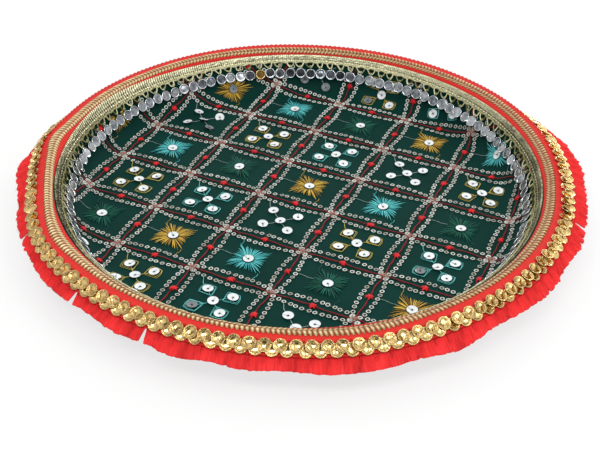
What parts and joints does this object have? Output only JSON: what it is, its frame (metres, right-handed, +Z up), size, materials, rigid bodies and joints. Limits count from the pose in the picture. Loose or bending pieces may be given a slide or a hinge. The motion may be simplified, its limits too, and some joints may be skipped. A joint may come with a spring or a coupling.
{
  "type": "decorated puja platter",
  "caption": "Round steel thali lined with embroidered green cloth, with hanging mirrors, gold braid, sequins and a red fringe round its rim.",
  "frame": {"origin": "centre of the pan's flat underside, on the surface that the platter stands on", "axes": "+Z up, out of the tray; +X to the right and +Y away from the viewer as in the picture"},
  "size_m": [0.3298, 0.3299, 0.0284],
  "materials": {
    "pan_steel": "polished, spun",
    "lining_satin": "dark green satin-like cloth",
    "gota_lace": "champagne metallic thread, ribbed",
    "crochet_thread": "gold metallic thread",
    "mirror_foil": "silvered plastic film",
    "ribbon_red": "ribbed, matt",
    "braid_gold": "pale gold metallic thread",
    "sequin_gold": "metallised gold, faceted",
    "fringe_red": "cut brush fringe",
    "lattice_thread": "red thread with champagne ring sequins",
    "motif_gold_thread": "embroidery thread",
    "motif_turquoise_thread": "embroidery thread",
    "motif_green_thread": "embroidery thread",
    "sequin_white": "white cup sequins with thread frames"
  },
  "bodies": {
    "root": {"steel_pan": "pan_steel", "fabric_lining": "lining_satin", "gota_lace": "gota_lace", "crochet_edging": "crochet_thread", "hanging_mirrors": "mirror_foil", "rim_ribbon": "ribbon_red", "rim_braid": "braid_gold", "sequin_row_upper": "sequin_gold", "sequin_row_lower": "sequin_gold", "red_fringe": "fringe_red", "lattice_stitching": "lattice_thread", "burst_gold_0_1": "motif_gold_thread", "burst_gold_0_4": "motif_gold_thread", "burst_gold_2_3": "motif_gold_thread", "burst_gold_4_2": "motif_gold_thread", "burst_gold_4_5": "motif_gold_thread", "burst_turquoise_0_2": "motif_turquoise_thread", "burst_turquoise_0_5": "motif_turquoise_thread", "burst_turquoise_2_1": "motif_turquoise_thread", "burst_turquoise_2_4": "motif_turquoise_thread", "burst_turquoise_4_3": "motif_turquoise_thread", "burst_green_0_3": "motif_green_thread", "burst_green_2_2": "motif_green_thread", "burst_green_2_5": "motif_green_thread", "burst_green_4_1": "motif_green_thread", "burst_green_4_4": "motif_green_thread", "sequins_gold_-1_3": "sequin_white", "sequins_gold_1_2": "sequin_white", "sequins_gold_1_5": "sequin_white", "sequins_gold_3_1": "sequin_white", "sequins_gold_3_4": "sequin_white", "sequins_gold_5_2": "sequin_white", "sequins_turquoise_1_3": "sequin_white", "sequins_turquoise_3_2": "sequin_white", "sequins_turquoise_3_5": "sequin_white", "sequins_turquoise_5_3": "sequin_white", "sequins_white_1_1": "sequin_white", "sequins_white_1_4": "sequin_white", "sequins_white_3_3": "sequin_white", "sequins_white_5_4": "sequin_white"}
  },
  "joints": []
}
